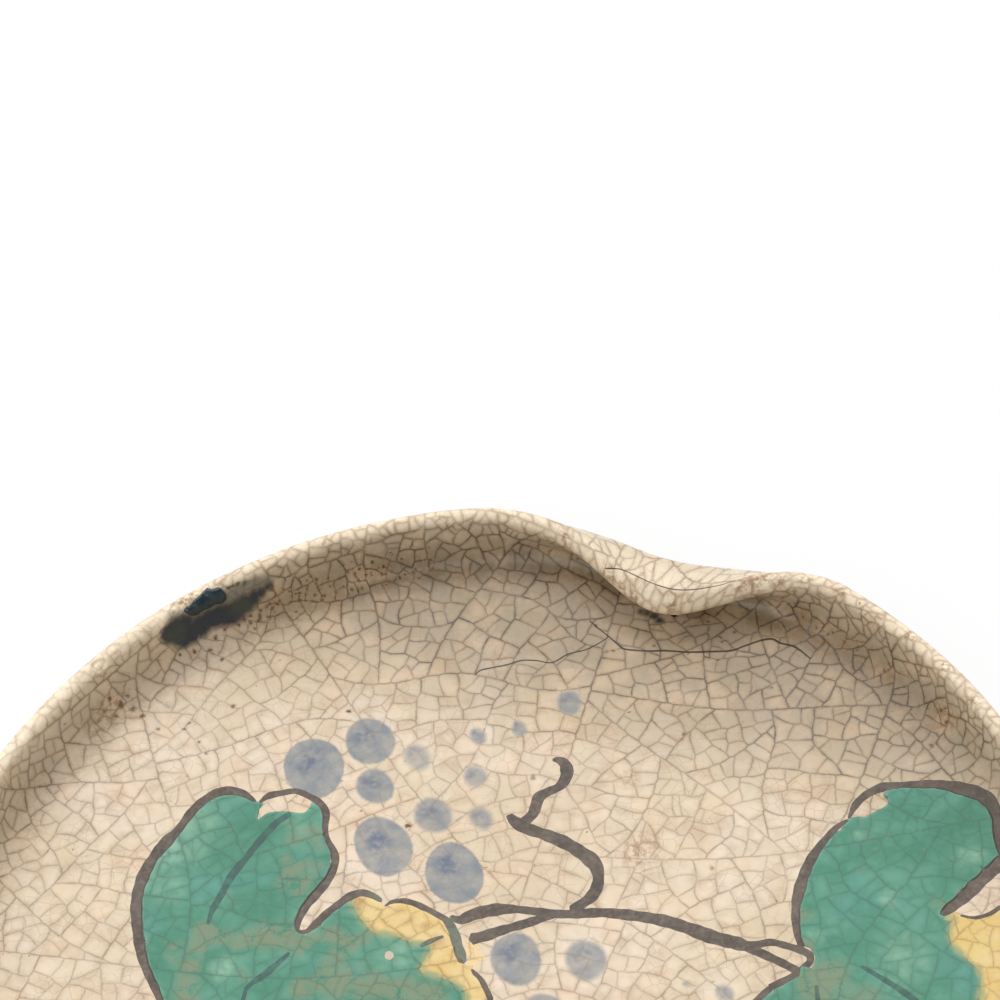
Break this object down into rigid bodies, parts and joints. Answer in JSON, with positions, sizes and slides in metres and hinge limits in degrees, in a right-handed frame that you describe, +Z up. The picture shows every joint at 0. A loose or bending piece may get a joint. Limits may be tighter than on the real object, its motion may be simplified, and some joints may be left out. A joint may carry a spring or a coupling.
{
  "type": "plate",
  "caption": "Small round stoneware plate with a low upright wall, a lip pinched inwards at one side, a foot ring, crackled glaze and vine leaves in raised enamel.",
  "frame": {"origin": "on the surface the plate stands on, at the middle of the foot ring, which is the axis it was thrown round", "axes": "+Z up out of the plate, +Y away from the person the plate is set before, so that the pinch lies to the far right"},
  "size_m": [0.1499, 0.1499, 0.0195],
  "materials": {
    "clay": "bare fired stoneware, fine grain",
    "crackle_glaze": "glossy cream glaze with a dark crackle",
    "dark_glaze": "glossy green-black glaze",
    "green_enamel": "glossy translucent enamel, worn in places",
    "yellow_enamel": "glossy translucent enamel, worn in places"
  },
  "bodies": {
    "root": {"dish": "clay", "foot_ring": "clay", "glaze_coat": "crackle_glaze", "base_glaze": "crackle_glaze", "rim_drip": "dark_glaze", "left_leaf_green": "green_enamel", "left_leaf_yellow": "yellow_enamel", "right_leaf_green": "green_enamel", "right_leaf_yellow": "yellow_enamel"}
  },
  "joints": []
}
